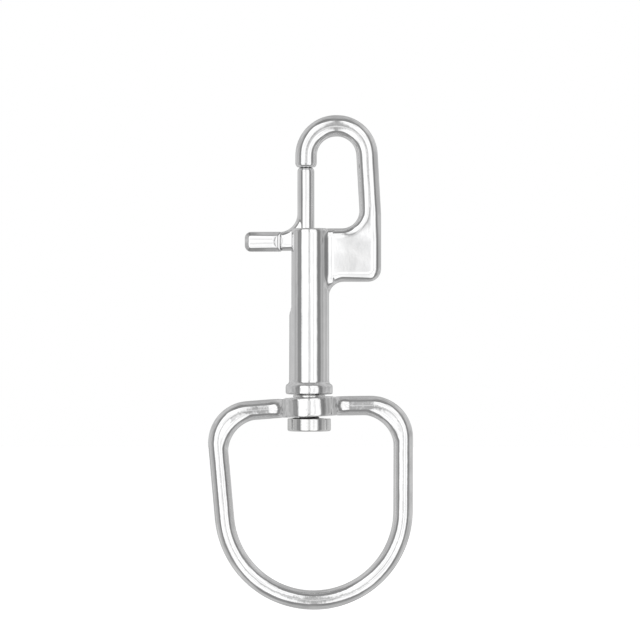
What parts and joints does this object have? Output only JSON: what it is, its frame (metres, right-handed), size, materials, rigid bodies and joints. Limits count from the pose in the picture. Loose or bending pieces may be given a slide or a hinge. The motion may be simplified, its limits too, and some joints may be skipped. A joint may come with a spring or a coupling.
{
  "type": "swivel bolt snap",
  "caption": "Polished stainless swivel bolt snap: a hook shut by a spring bolt with a thumb lug, on a large D-shaped swivel ring.",
  "frame": {"origin": "the inside of the hook's crown at its middle, where it bears on whatever the snap hangs from", "axes": "+Z along the snap, from the ring towards the hook; +X from the barrel towards the hook's back leg; +Y front to back, across the flat of the snap"},
  "size_m": [0.0498, 0.014, 0.12],
  "materials": {
    "polished_casting": "mirror-polished cast stainless steel with soft tumbled edges",
    "turned_steel": "turned and polished stainless steel with faint turning rings",
    "spring_wire": "drawn stainless spring wire"
  },
  "bodies": {
    "hook_body": {"hook_body": "polished_casting", "gate_spring": "spring_wire", "swivel_stud": "turned_steel"},
    "gate": {"gate_bolt": "polished_casting"},
    "washer": {"thrust_washer": "turned_steel"},
    "ring": {"swivel_ring": "polished_casting"}
  },
  "joints": [
    {"name": "gate_slide", "type": "slide", "parent": "hook_body", "child": "gate", "axis": [0, 0, -1], "range_m": [0, 0.0144], "stiffness_N_per_m": 490, "springref_m": -0.005, "deforming": ["gate_spring"]},
    {"name": "ring_swivel", "type": "hinge", "parent": "hook_body", "child": "washer", "pos_m": [-0.00653, 0, -0.06563], "axis": [0, 0, 1], "continuous": true},
    {"name": "ring_rock", "type": "hinge", "parent": "washer", "child": "ring", "pos_m": [-0.00653, 0, -0.06563], "axis": [0, -1, 0], "range_deg": [-4.9, 0]}
  ]
}
